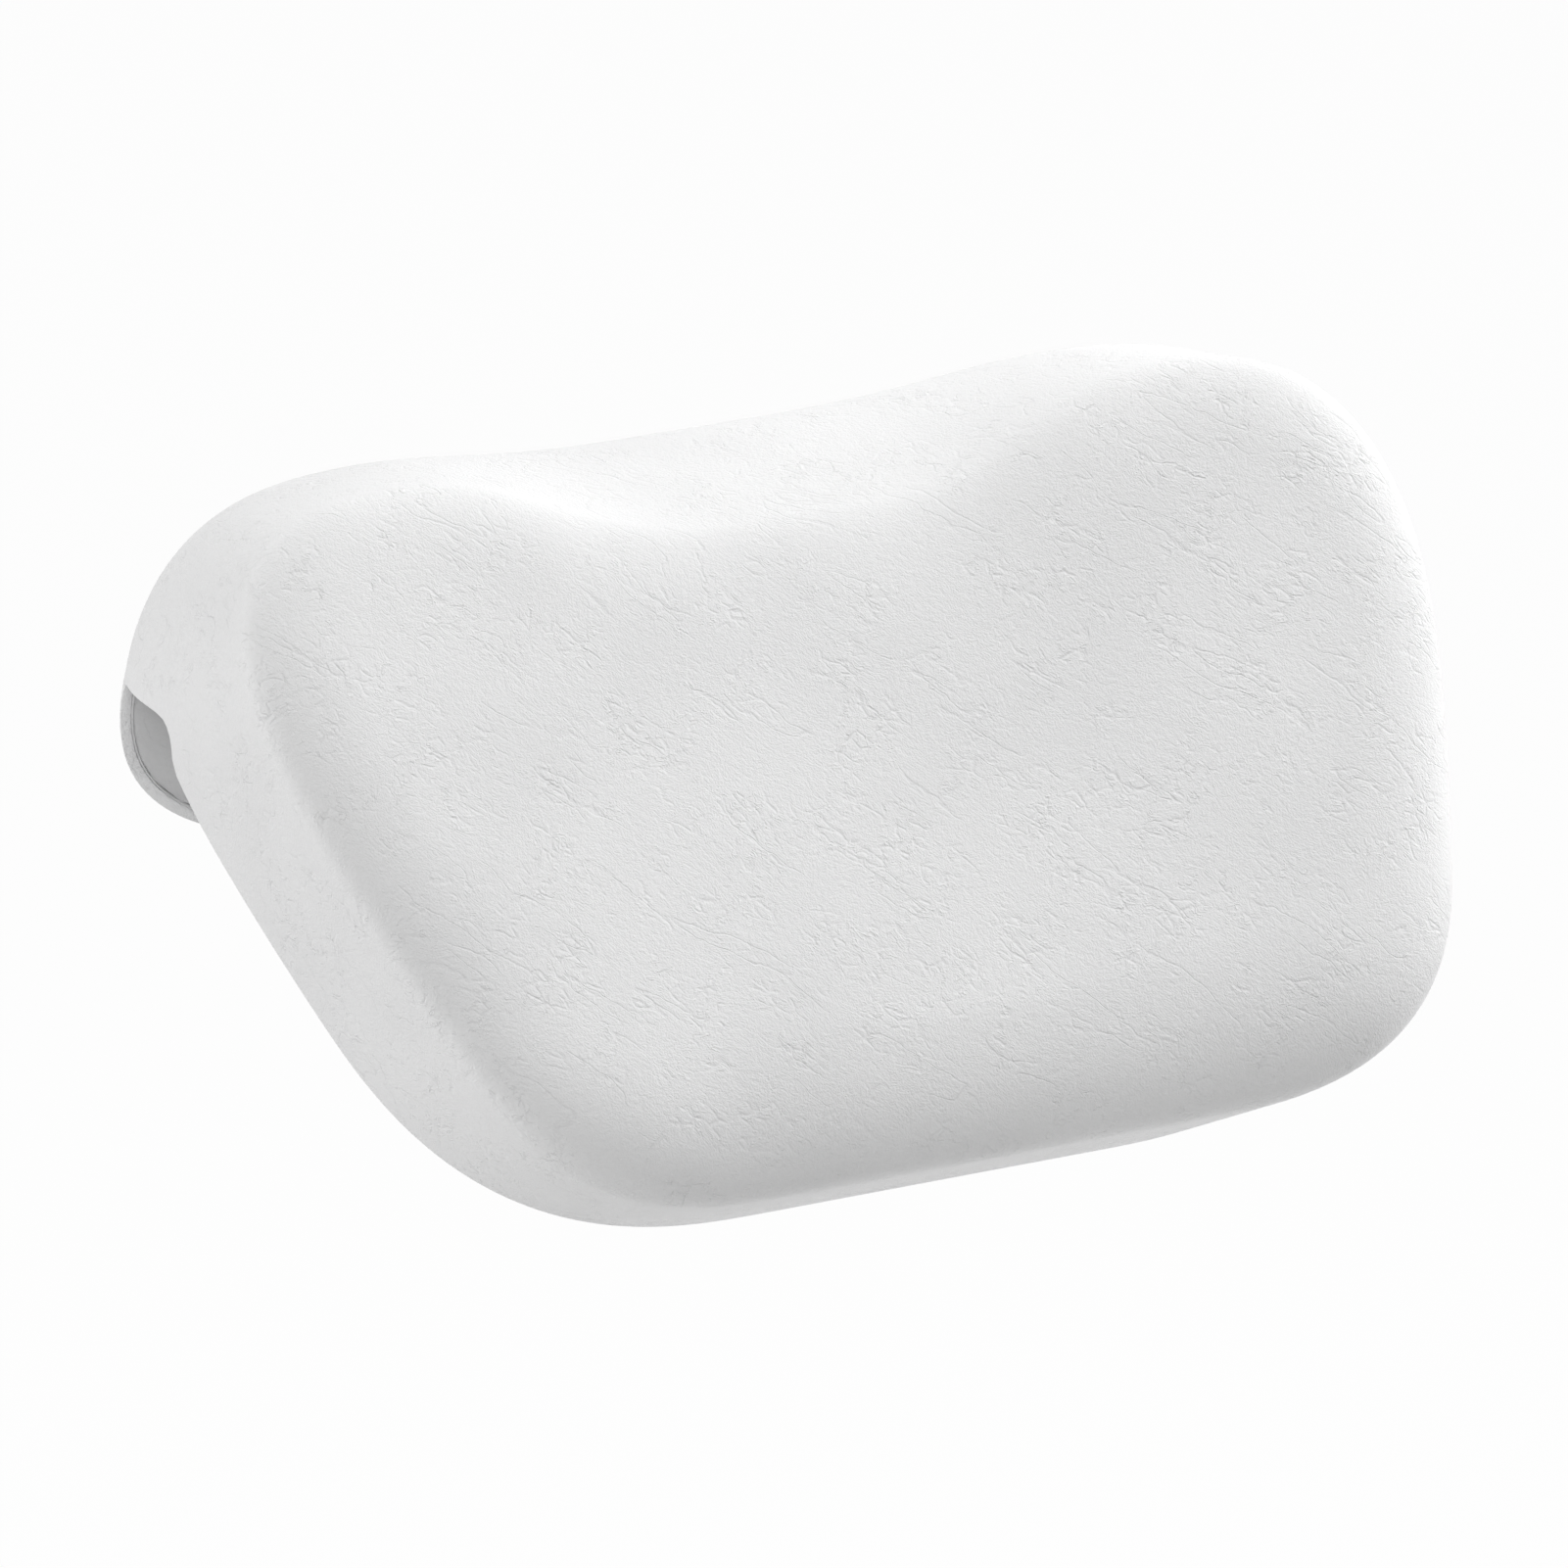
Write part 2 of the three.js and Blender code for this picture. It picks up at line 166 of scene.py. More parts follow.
def mouldingLevel(points, inset=0):  # below 0 inside the moulding less its inset, above 0 outside
    x, y, z = points.T
    up = points @ upSlab
    depth = points @ outOfFace
    depthShare = np.clip(depth / moulding["padThickness"], *moulding["growthShareRange"])
    growth = 1 + moulding["cornerGrowthShare"] * (1 - depthShare)
    flank = reach(np.abs(x) - flankPlace(up, depth) + inset, moulding["flankRadius"] * growth - inset)
    top = reach(z - topHeight(x, y) + inset, moulding["earRadius"] - inset)
    foot = reach(inset - up - footSlope * depth, moulding["footRadius"] * growth - inset)
    lip = reach(lipHeight - z + inset, moulding["lipRadius"] - inset)

    weights = {"ear": top**2, "flank": flank**2, "foot": foot**2 + moulding["leastWeight"]}
    total = sum(weights.values())
    run = sum(weights[side] * size for side, size in moulding["edgeRuns"].items()) / total
    rise = sum(weights[side] * size for side, size in moulding["edgeDepths"].items()) / total
    face = reach(depth - faceDepth(x, up) + inset, rise - inset)
    back = reach(y - hookSetback + inset, moulding["hookBackDepth"] - inset)

    def within(low):
        power, edgePower = moulding["cornerPower"], moulding["edgePower"]
        corner = (flank**power + top**power + low**power) ** (1 / power)
        outline = (moulding["flankRadius"] - inset) * (corner - 1)
        front = reach(outline, run - inset) ** edgePower + face**edgePower
        rear = reach(outline, moulding["hookBackRun"] - inset) ** edgePower + back**edgePower
        return np.maximum(front, rear) - 1

    behind = (inset - moulding["backOverrun"] - depth) / moulding["padThickness"]
    return np.minimum(np.maximum(within(foot), behind), within(lip))


def roundedJoin(first, second, radius):  # the inner corner between two walls, with a fillet
    corner = np.hypot(np.maximum(first + radius, 0), np.maximum(second + radius, 0)) - radius
    return corner + np.minimum(np.maximum(first, second) + radius, 0)


def channelLevel(points):  # below 0 in the open channel and behind the back, above 0 in the foam
    y, z = points[:, 1], points[:, 2]
    wall = np.minimum(points @ outOfFace, channelSetback - y)
    seat = roundedJoin(wall, z - seatHeight, channel["fillet"])
    return roundedJoin(seat, y - lipSetback, channel["fillet"])


def slopeOf(level, points, step=0.02):
    moves = np.eye(3) * step
    rises = [level(points + move) - level(points - move) for move in moves]
    return np.stack(rises, axis=1) / (2 * step)


def unit(vectors):
    return vectors / np.linalg.norm(vectors, axis=1, keepdims=True)


def farthestInside(placeAt, limits, inset):  # how far each point goes before it leaves the moulding
    near, far = np.zeros(len(limits)), limits
    for _ in range(search["halvings"]):
        middle = (near + far) / 2
        inside = mouldingLevel(placeAt(middle), inset) < 0
        near = np.where(inside, middle, near)
        far = np.where(inside, far, middle)
    return near


def drawnOut(rays, inset=0):  # the points where rays from the heart leave the moulding
    def placeAt(share):
        return heart + rays * share[:, None]

    return placeAt(farthestInside(placeAt, np.full(len(rays), search["farthestShare"]), inset))


def onPartingLine(points, height):  # slides points onto the moulding, a height above the channel's surface
    for _ in range(search["partingLineSteps"]):
        errors = np.stack([mouldingLevel(points), channelLevel(points) - height], axis=1)
        slopes = np.stack([slopeOf(mouldingLevel, points), slopeOf(channelLevel, points)], axis=1)
        products = slopes @ slopes.transpose(0, 2, 1)
        shares = np.linalg.solve(products, errors[:, :, None])[:, :, 0]
        points = points - np.einsum("nij,ni->nj", slopes, shares)
    return points


def onChannel(points, height=0):
    for _ in range(search["channelSteps"]):
        points = points - (channelLevel(points) - height)[:, None] * slopeOf(channelLevel, points)
    return points


def mouldedGrid(divisions, crowding=0.95):  # a cube's grid, leaning with the head rest, as rays
    bpy.ops.object.select_all(action="DESELECT")
    bpy.ops.mesh.primitive_cube_add(size=1)
    grid = bpy.context.object
    bpy.ops.object.mode_set(mode="EDIT")
    bpy.ops.mesh.subdivide(number_cuts=divisions - 1)
    bpy.ops.object.mode_set(mode="OBJECT")
    corners = np.array([vertex.co for vertex in grid.data.vertices])
    faces = np.array([face.vertices for face in grid.data.polygons])
    bpy.data.objects.remove(grid)
    spread = np.sin(2 * corners * crowding) / np.sin(crowding)
    hookDepth = hookSetback * math.cos(lean) - lipHeight * math.sin(lean)
    depths = np.where(spread[:, 2] > 0, moulding["padThickness"] - heartDepth, hookDepth + heartDepth)
    rays = across * spread[:, :1] * moulding["halfWidth"] + upSlab * spread[:, 1:2] * headRestLength / 2
    return rays + outOfFace * (spread[:, 2] * depths)[:, None], faces


def selectOnly(piece):
    bpy.ops.object.select_all(action="DESELECT")
    piece.select_set(True)
    bpy.context.view_layer.objects.active = piece


def smoothByAngle(piece, degrees=50):
    selectOnly(piece)
    bpy.ops.object.shade_smooth_by_angle(angle=math.radians(degrees))


def pieceFrom(name, points, faces):  # a mesh in the part's frame, in metres
    mesh = bpy.data.meshes.new(name)
    mesh.from_pydata(((points - partOrigin) * millimetre).tolist(), [], [list(face) for face in faces])
    mesh.validate()
    piece = bpy.data.objects.new(name, mesh)
    bpy.context.scene.collection.objects.link(piece)
    smoothByAngle(piece)
    return piece


def onlyUsed(points, faces):  # drops the points that no face uses
    used = sorted({int(i) for face in faces for i in face})
    renumber = {vertex: i for i, vertex in enumerate(used)}
    return points[used], [tuple(renumber[int(i)] for i in face) for face in faces]


# Outer skin: the grained shell, open along the parting line round the channel
outerSkin = {
    "divisions": 90,
    "thickness": 3,
    "edgeRadius": 0.45,
    "bandEdgeRadius": 0.2,
    "roundingShares": (0.25, 0.5, 0.75),
}


def trimmedGrid(points, faces, height):  # keeps what lies above the channel, cut along the parting line
    level = channelLevel(points) - height
    edges = np.concatenate([np.stack([faces[:, i], faces[:, (i + 1) % 4]], axis=1) for i in range(4)])
    edges = np.unique(np.sort(edges, axis=1), axis=0)
    crossing = edges[level[edges[:, 0]] * level[edges[:, 1]] < 0]
    share = level[crossing[:, 0]] / (level[crossing[:, 0]] - level[crossing[:, 1]])
    target = points[crossing[:, 0]] + share[:, None] * (points[crossing[:, 1]] - points[crossing[:, 0]])
    nearest = np.where(share < 0.5, crossing[:, 0], crossing[:, 1])
    order = np.argsort(-np.minimum(share, 1 - share), kind="stable")  # the closest crossing is written last
    points[nearest[order]] = target[order]
    snapped = np.unique(nearest)
    points[snapped] = onPartingLine(points[snapped], height)
    side = np.sign(level)
    side[snapped] = 0
    kept = []
    for face in faces:
        sides = side[face]
        if sides.min() >= 0 and sides.max() > 0:
            kept.append(tuple(face))
        elif sides.max() > 0:
            top = int(sides.argmax())
            kept.append((face[top - 1], face[top], face[(top + 1) % 4]))
    return points, kept


def openEdges(faces):  # the border of a sheet, as directed edges
    directed = {(face[i - 1], face[i]) for face in faces for i in range(len(face))}
    return [edge for edge in directed if edge[::-1] not in directed]


def makeOuterSkin():
    rays, faces = mouldedGrid(outerSkin["divisions"])
    points, kept = onlyUsed(*trimmedGrid(drawnOut(rays), faces, outerSkin["edgeRadius"]))
    border = sorted(openEdges(kept))
    ring = sorted({i for edge in border for i in edge})
    place = {vertex: i for i, vertex in enumerate(ring)}

    start = points[ring]
    corner = onPartingLine(start, 0)
    intoFoam = unit(slopeOf(channelLevel, corner))
    outward = unit(slopeOf(mouldingLevel, corner))
    inward = -unit(outward - np.sum(outward * intoFoam, axis=1, keepdims=True) * intoFoam)
    bend = corner + outerSkin["edgeRadius"] * inward
    band = outerSkin["thickness"]
    small = outerSkin["bandEdgeRadius"]
    rings = [  # the edge, rounded from the skin into the channel
        (1 - share) ** 2 * start + 2 * share * (1 - share) * corner + share**2 * bend
        for share in outerSkin["roundingShares"]
    ]
    rings.append(onChannel(bend))
    rings.append(onChannel(corner + (band - small) * inward))
    rings.append(onChannel(corner + band * inward, small))
    rings.append(onChannel(corner + band * inward, band))

    count = len(points)
    inner = drawnOut(points - heart, band)
    allPoints = np.concatenate([points, inner, *rings])
    allFaces = kept + [tuple(count + i for i in face[::-1]) for face in kept]

    def ringVertex(step, vertex):
        if step == 0:
            return vertex
        if step > len(rings):
            return count + vertex
        return 2 * count + (step - 1) * len(ring) + place[vertex]

    for first, second in border:
        for step in range(len(rings) + 1):
            low = (ringVertex(step, first), ringVertex(step + 1, first))
            high = (ringVertex(step + 1, second), ringVertex(step, second))
            allFaces.append((*low, *high))
    return pieceFrom("front_skin", allPoints, allFaces)


frontSkin = makeOuterSkin()
print("outer skin made:", len(frontSkin.data.polygons), "faces")


# Channel skin: the other mould half's skin, on the back of the head rest and round the channel
channelSkin = {
    "thickness": 3,
    "seam": 0.08,
    "columns": 70,
    "longStep": 4,
    "columnCrowding": 0.8,
    "filletSteps": 10,
    "footRounding": 2,
    "footMiddle": (1 / 3, 1 / 4),  # how far down the slab and up the wall its middle point lies
    "rimRounding": 0.15,
    "smallestStep": 0.05,
}


def channelOutline():  # the channel from the side: up the back, over the seat and down the lip
    fillet = channel["fillet"]
    inset = channelSkin["thickness"] + channelSkin["seam"]
    wallFoot = np.array([channelSetback, channelSetback / math.tan(lean)])
    slab = upSlab[1:]
    soft = channelSkin["footRounding"]
    down, up = channelSkin["footMiddle"]

    def straight(start, end):
        steps = max(2, round(np.linalg.norm(end - start) / channelSkin["longStep"]))
        shares = (1 - np.cos(np.linspace(0, math.pi, steps + 1))) / 2
        return [start + (end - start) * share for share in shares]

    def arc(centre, start, end):
        angles = np.linspace(start, end, channelSkin["filletSteps"] + 1)
        return [centre + fillet * np.array([math.cos(angle), math.sin(angle)]) for angle in angles]

    top = seatHeight - fillet
    points = straight(slab * inset, wallFoot - slab * soft)
    points += [wallFoot - slab * down + [0, up]]
    points += straight(wallFoot + [0, soft], np.array([channelSetback, top]))
    points += arc(np.array([channelSetback + fillet, top]), math.pi, math.pi / 2)
    points += straight(
        np.array([channelSetback + fillet, seatHeight]),
        np.array([lipSetback - fillet, seatHeight]),
    )
    points += arc(np.array([lipSetback - fillet, top]), math.pi / 2, 0)
    points += straight(np.array([lipSetback, top]), np.array([lipSetback, lipHeight + inset]))
    outline = [points[0]]
    for point in points[1:]:
        if np.linalg.norm(point - outline[-1]) > channelSkin["smallestStep"]:
            outline.append(point)
    return np.array(outline)


def halfWidthAt(outline, inset):  # how far across each point of the outline stays inside the moulding
    limits = np.full(len(outline), moulding["halfWidth"] * search["widestShare"])
    return farthestInside(lambda x: np.column_stack([x, outline]), limits, inset)


def makeChannelSkin():
    outline = channelOutline()
    inset = channelSkin["thickness"] + channelSkin["seam"]
    halfWidths = halfWidthAt(outline, inset)
    rows, columns = len(outline), channelSkin["columns"] + 1
    crowding = channelSkin["columnCrowding"] * math.pi / 2
    shares = np.sin(np.linspace(-1, 1, columns) * crowding) / math.sin(crowding)
    small = channelSkin["rimRounding"]
    layers = []  # the rim's rounding, the open face and the face on the foam
    for height, shrink in ((small, 0), (0, small), (channelSkin["thickness"], 0)):
        widths = halfWidths - shrink
        sheet = np.zeros((rows, columns, 3))
        sheet[:, :, 0] = widths[:, None] * shares[None, :]
        sheet[:, :, 1:] = outline[:, None, :]
        flat = sheet.reshape(-1, 3)
        layers.append(flat + slopeOf(channelLevel, onChannel(flat)) * height)
    points = np.concatenate(layers)
    number = np.arange(rows * columns).reshape(rows, columns)
    size = rows * columns
    quads = [
        (number[i, j], number[i + 1, j], number[i + 1, j + 1], number[i, j + 1])
        for i in range(rows - 1)
        for j in range(columns - 1)
    ]
    faces = [tuple(size + i for i in quad) for quad in quads]
    faces += [tuple(2 * size + i for i in quad[::-1]) for quad in quads]
    loop = [*number[0, :], *number[1:, -1], *number[-1, -2::-1], *number[-2:0:-1, 0]]
    for first, second in zip(loop, loop[1:] + loop[:1]):
        faces.append((size + first, size + second, second, first))
        faces.append((first, second, 2 * size + second, 2 * size + first))
    return pieceFrom("channel_lining", *onlyUsed(points, faces))


channelLining = makeChannelSkin()
print("channel skin made:", len(channelLining.data.polygons), "faces")


# Foam: the filling, cut by the channel, with a room for each cup's socket
foamFilling = {
    "divisions": 44,
    "inset": 3.6,
    "cutterHalfWidth": 200,
    "cutterDrop": 260,
    "socketRoomRadius": 14.1,
    "socketRoomDepth": 10.9,
    "socketRoomTop": 1,
}

cupLayout = {
    "spacing": 130,
    "lowHeight": 34,
    "radius": 18,
    "tabLength": 5,
    "rowGap": 4,
}

rowSpacing = 2 * (cupLayout["radius"] + cupLayout["tabLength"]) + cupLayout["rowGap"]
cupPlaces = [
    (side * cupLayout["spacing"] / 2, cupLayout["lowHeight"] + row * rowSpacing)
    for row in (0, 1)
    for side in (-1, 1)
]


def onBack(x, up):  # a place on the back of the head rest, its Z out toward the wall of the tub
    place = (np.array([x, 0, 0]) + upSlab * up - partOrigin) * millimetre
    return Matrix.Translation(Vector(place)) @ Matrix.Rotation(-math.pi / 2 - lean, 4, "X")


def combine(piece, other, operation, solver):  # cuts the other shape out of the piece, or joins it on
    selectOnly(piece)
    boolean = piece.modifiers.new("combine", "BOOLEAN")
    boolean.operation = operation
    boolean.solver = solver
    boolean.object = other
    bpy.ops.object.modifier_apply(modifier=boolean.name)
    bpy.data.objects.remove(other)


def cutAway(piece, cutter):  # by the manifold solver, as the exact one can leave a room filled
    combine(piece, cutter, "DIFFERENCE", "MANIFOLD")


def cylinderOnBack(x, up, radius, low, high, sides=64):
    bpy.ops.object.select_all(action="DESELECT")
    bpy.ops.mesh.primitive_cylinder_add(
        vertices=sides,
        radius=radius * millimetre,
        depth=(high - low) * millimetre,
        location=(0, 0, (high + low) / 2 * millimetre),
    )
    cylinder = bpy.context.object
    bpy.ops.object.transform_apply()
    cylinder.data.transform(onBack(x, up))
    return cylinder


def mergeAndTurnOut(piece, mergeDistance=0.00001):
    selectOnly(piece)
    bpy.ops.object.mode_set(mode="EDIT")
    bpy.ops.mesh.select_all(action="SELECT")
    bpy.ops.mesh.remove_doubles(threshold=mergeDistance)
    bpy.ops.mesh.normals_make_consistent(inside=False)
    bpy.ops.object.mode_set(mode="OBJECT")


def makeFoamCutter():  # the channel and its lining's thickness, as a block that runs past the foam
    outline = channelOutline()
    flat = np.column_stack([np.zeros(len(outline)), outline])
    grown = (flat + slopeOf(channelLevel, onChannel(flat)) * foamFilling["inset"])[:, 1:]
    onward = grown[0] - grown[1]
    start = grown[0] + onward / np.linalg.norm(onward) * foamFilling["cutterDrop"]
    section = np.array([start, *grown, [grown[-1][0], -foamFilling["cutterDrop"]]])
    count = len(section)
    sides = [np.column_stack([np.full(count, x), section]) for x in (-1, 1)]
    points = np.concatenate(sides) * [foamFilling["cutterHalfWidth"], 1, 1]
    ends = [tuple(range(count)), tuple(range(2 * count - 1, count - 1, -1))]
    walls = [(i, i + count, (i + 1) % count + count, (i + 1) % count) for i in range(count)]
    cutter = pieceFrom("foam_cutter", points, ends + walls)
    mergeAndTurnOut(cutter)
    return cutter


def makeFoam():
    rays, faces = mouldedGrid(foamFilling["divisions"])
    foam = pieceFrom("foam_filling", drawnOut(rays, foamFilling["inset"]), faces)
    cutAway(foam, makeFoamCutter())
    bottom, top = -foamFilling["socketRoomDepth"], foamFilling["socketRoomTop"]
    for x, up in cupPlaces:
        cutAway(foam, cylinderOnBack(x, up, foamFilling["socketRoomRadius"], bottom, top))
    smoothByAngle(foam)
    return foam


foamBody = makeFoam()
print("foam made:", len(foamBody.data.polygons), "faces")


# Sockets: closed bushings with a flange behind the skin and a mouth that a cup's head snaps through
socket = {
    "innerRadius": 6.8,
    "wall": 2,
    "flangeWidth": 5,
    "flangeTop": -3.3,
    "mouthRadius": 4.3,
    "mouthChamfer": 0.8,
    "mouthDepth": 5,
    "chamberDepth": 3.6,
    "holeClearance": 0.3,
    "holeReach": 6,
    "edge": 0.25,
    "sides": 72,
    "smoothDegrees": 40,
}


turning = {"edgeSegments": 2, "sharpDegrees": 40}  # how the sharp edges of sockets and cups are rounded


def turnedPiece(name, profile, sizes):  # a disc drawn up and widened along a profile
    bpy.ops.object.select_all(action="DESELECT")
    radius, height = profile[0]
    bpy.ops.mesh.primitive_circle_add(vertices=sizes["sides"], radius=radius * millimetre, fill_type="NGON")
    piece = bpy.context.object
    piece.name = piece.data.name = name
    bpy.ops.object.mode_set(mode="EDIT")
    bpy.ops.mesh.select_all(action="SELECT")
    bpy.ops.transform.translate(value=(0, 0, height * millimetre))
    for nextRadius, nextHeight in profile[1:]:
        rise = (nextHeight - height) * millimetre
        bpy.ops.mesh.extrude_region_move(TRANSFORM_OT_translate={"value": (0, 0, rise)})
        bpy.ops.transform.resize(value=(nextRadius / radius, nextRadius / radius, 1))
        radius, height = nextRadius, nextHeight
    bpy.ops.mesh.select_all(action="SELECT")
    bpy.ops.mesh.normals_make_consistent(inside=False)
    bpy.ops.object.mode_set(mode="OBJECT")
    bevel = piece.modifiers.new("edge", "BEVEL")
    bevel.width = sizes["edge"] * millimetre
    bevel.segments = turning["edgeSegments"]
    bevel.limit_method = "ANGLE"
    bevel.angle_limit = math.radians(turning["sharpDegrees"])
    bpy.ops.object.modifier_apply(modifier=bevel.name)
    smoothByAngle(piece, sizes["smoothDegrees"])
    return piece


def makeSocket():
    outer = socket["innerRadius"] + socket["wall"]
    chamber = -socket["mouthDepth"] - socket["chamberDepth"]
    chamfer = socket["mouthChamfer"]
    profile = [
        (outer, chamber - socket["wall"]),
        (outer, socket["flangeTop"] - socket["wall"]),
        (outer + socket["flangeWidth"], socket["flangeTop"] - socket["wall"]),
        (outer + socket["flangeWidth"], socket["flangeTop"]),
        (outer, socket["flangeTop"]),
        (outer, 0),
        (socket["mouthRadius"] + chamfer, 0),
        (socket["mouthRadius"], -chamfer),
        (socket["mouthRadius"], -socket["mouthDepth"]),
        (socket["innerRadius"], -socket["mouthDepth"]),
        (socket["innerRadius"], chamber),
    ]
    return turnedPiece("socket_bush", profile, socket)


# Suction cups: a snap head, a neck, a flared clear dish and a pull tab on its rim
suctionCup = {
    "headRadius": 6.5,
    "headLow": -8.3,
    "headHigh": -5.3,
    "headChamfer": 1.6,
    "neckRadius": 4,
    "neckTop": 0.9,
    "neckSpread": 0.6,
    "neckSpreadRise": 0.5,
    "hubRadius": 7.6,
    "hubHeight": 2.2,
    "height": 9,
    "wall": 1.1,
    "flare": 1.7,
    "rimShare": 0.45,
    "dishSteps": 9,
    "domeDepth": 5.6,
    "domeTip": 0.4,
    "sides": 80,
    "edge": 0.2,
    "smoothDegrees": 60,
    "tabWidth": 7,
    "tabRootShare": 0.9,
    "tabEndShare": 0.49,
    "tabSegments": 10,
}


def makeCup():
    rim = cupLayout["radius"]
    dish = suctionCup["dishSteps"]
    hub = suctionCup["hubRadius"]
    bed = suctionCup["height"] - suctionCup["domeDepth"]
    profile = [
        (suctionCup["headRadius"] - suctionCup["headChamfer"], suctionCup["headLow"]),
        (suctionCup["headRadius"], suctionCup["headLow"] + suctionCup["headChamfer"]),
        (suctionCup["headRadius"], suctionCup["headHigh"]),
        (suctionCup["neckRadius"], suctionCup["headHigh"]),
        (suctionCup["neckRadius"], suctionCup["neckTop"]),
        (
            suctionCup["neckRadius"] + suctionCup["neckSpread"],
            suctionCup["neckTop"] + suctionCup["neckSpreadRise"],
        ),
    ]
    rise = suctionCup["height"] - suctionCup["wall"] * suctionCup["rimShare"] - suctionCup["hubHeight"]
    for i in range(dish + 1):
        share = i / dish
        height = suctionCup["hubHeight"] + rise * share ** suctionCup["flare"]
        profile.append((hub + (rim - hub) * share, height))
    profile.append((rim, suctionCup["height"]))
    inner = rim - suctionCup["wall"]
    for i in range(dish + 1):
        share = 1 - i / dish
        height = bed + suctionCup["domeDepth"] * share**2
        profile.append((max(inner * share, suctionCup["domeTip"]), height))
    cup = turnedPiece("vinyl_cup", profile, suctionCup)
    combine(cup, makeTab(inner * suctionCup["tabRootShare"]), "UNION", "EXACT")
    smoothByAngle(cup)
    return cup


def makeTab(root):  # from its root in the dish out past the rim, round at the end
    rim = cupLayout["radius"]
    end = rim + cupLayout["tabLength"]
    middle = (root + end) / 2 * millimetre
    height = (suctionCup["height"] - suctionCup["wall"] / 2) * millimetre
    bpy.ops.object.select_all(action="DESELECT")
    bpy.ops.mesh.primitive_cube_add(size=1, location=(0, middle, height))
    tab = bpy.context.object
    tab.scale = Vector((suctionCup["tabWidth"], end - root, suctionCup["wall"])) * millimetre
    bpy.ops.object.transform_apply()
    bpy.ops.object.mode_set(mode="EDIT")
    bpy.ops.mesh.select_all(action="DESELECT")
    bpy.ops.object.mode_set(mode="OBJECT")
    for edge in tab.data.edges:
        ends = [tab.data.vertices[i].co for i in edge.vertices]
        upright = abs(ends[0].z - ends[1].z) > suctionCup["wall"] / 2 * millimetre
        edge.select = upright and ends[0].y > rim * millimetre
    bpy.ops.object.mode_set(mode="EDIT")
    bpy.ops.mesh.select_mode(type="EDGE")
    rounding = suctionCup["tabWidth"] * suctionCup["tabEndShare"] * millimetre
    bpy.ops.mesh.bevel(offset=rounding, segments=suctionCup["tabSegments"])
    bpy.ops.object.mode_set(mode="OBJECT")
    return tab


def copiesOnBack(model, name):
    copies = []
    for number, (x, up) in enumerate(cupPlaces, start=1):
        mesh = model.data.copy()
        mesh.transform(onBack(x, up))
        piece = bpy.data.objects.new(f"{name}_{number}", mesh)
        bpy.context.scene.collection.objects.link(piece)
        copies.append(piece)
    bpy.data.objects.remove(model)
    return copies


sockets = copiesOnBack(makeSocket(), "socket_bush")
cups = copiesOnBack(makeCup(), "vinyl_cup")
holeRadius = socket["innerRadius"] + socket["wall"] + socket["holeClearance"]
for x, up in cupPlaces:
    cutAway(channelLining, cylinderOnBack(x, up, holeRadius, -socket["holeReach"], socket["holeReach"]))
smoothByAngle(channelLining)
print("sockets and cups made")


class Wire:  # a node's output, which takes part in sums
    def __init__(self, look, output):
        self.look = look
        self.output = output

    def sum(self, operation, first, second):
        return self.look.node("ShaderNodeMath", {"operation": operation}, {0: first, 1: second})

    def __add__(self, other):
        return self.sum("ADD", self, other)

    def __radd__(self, other):
        return self.sum("ADD", other, self)

    def __sub__(self, other):
        return self.sum("SUBTRACT", self, other)

    def __rsub__(self, other):
        return self.sum("SUBTRACT", other, self)

    def __mul__(self, other):
        return self.sum("MULTIPLY", self, other)

    def __rmul__(self, other):
        return self.sum("MULTIPLY", other, self)

    def __abs__(self):
        return self.look.node("ShaderNodeMath", {"operation": "ABSOLUTE"}, {0: self})


class Look:  # the nodes of a material or of the world
    def __init__(self, owner):
        self.owner = owner
        owner.use_nodes = True
        owner.node_tree.nodes.clear()

    def node(self, kind, settings=None, inputs=None, output=0):
        tree = self.owner.node_tree
        made = tree.nodes.new(kind)
        for setting, value in (settings or {}).items():
            setattr(made, setting, value)
        for key, value in (inputs or {}).items():
            if isinstance(value, Wire):
                tree.links.new(value.output, made.inputs[key])
            else:
                made.inputs[key].default_value = value
        return Wire(self, made.outputs[output]) if made.outputs else made

    def place(self):
        return self.node("ShaderNodeTexCoord", output="Object")

    def vector(self, operation, inputs):
        return self.node("ShaderNodeVectorMath", {"operation": operation}, inputs)

    def between(self, amount, low, high):  # a blend of two colours
        return self.node("ShaderNodeMix", {"data_type": "RGBA"}, {0: amount, 6: low, 7: high}, 2)

    def ramp(self, value, fromLow, fromHigh, toLow=0, toHigh=1):
        limits = {"From Min": fromLow, "From Max": fromHigh, "To Min": toLow, "To Max": toHigh}
        settings = {"interpolation_type": "SMOOTHSTEP"}
        return self.node("ShaderNodeMapRange", settings, {"Value": value, **limits})

    def noise(self, vector, scale, detail=2, roughness=0.5, output="Fac"):
        values = {"Vector": vector, "Scale": scale, "Detail": detail, "Roughness": roughness}
        return self.node("ShaderNodeTexNoise", {}, values, output)

    def relief(self, height, depth):
        values = {"Height": height, "Strength": 1.0, "Distance": depth}
        return self.node("ShaderNodeBump", {}, values, "Normal")

    def surface(self, values):
        shader = self.node("ShaderNodeBsdfPrincipled", {}, values, "BSDF")
        self.node("ShaderNodeOutputMaterial", {}, {"Surface": shader})
        return self.owner


def newLook(name):
    return Look(bpy.data.materials.new(name))


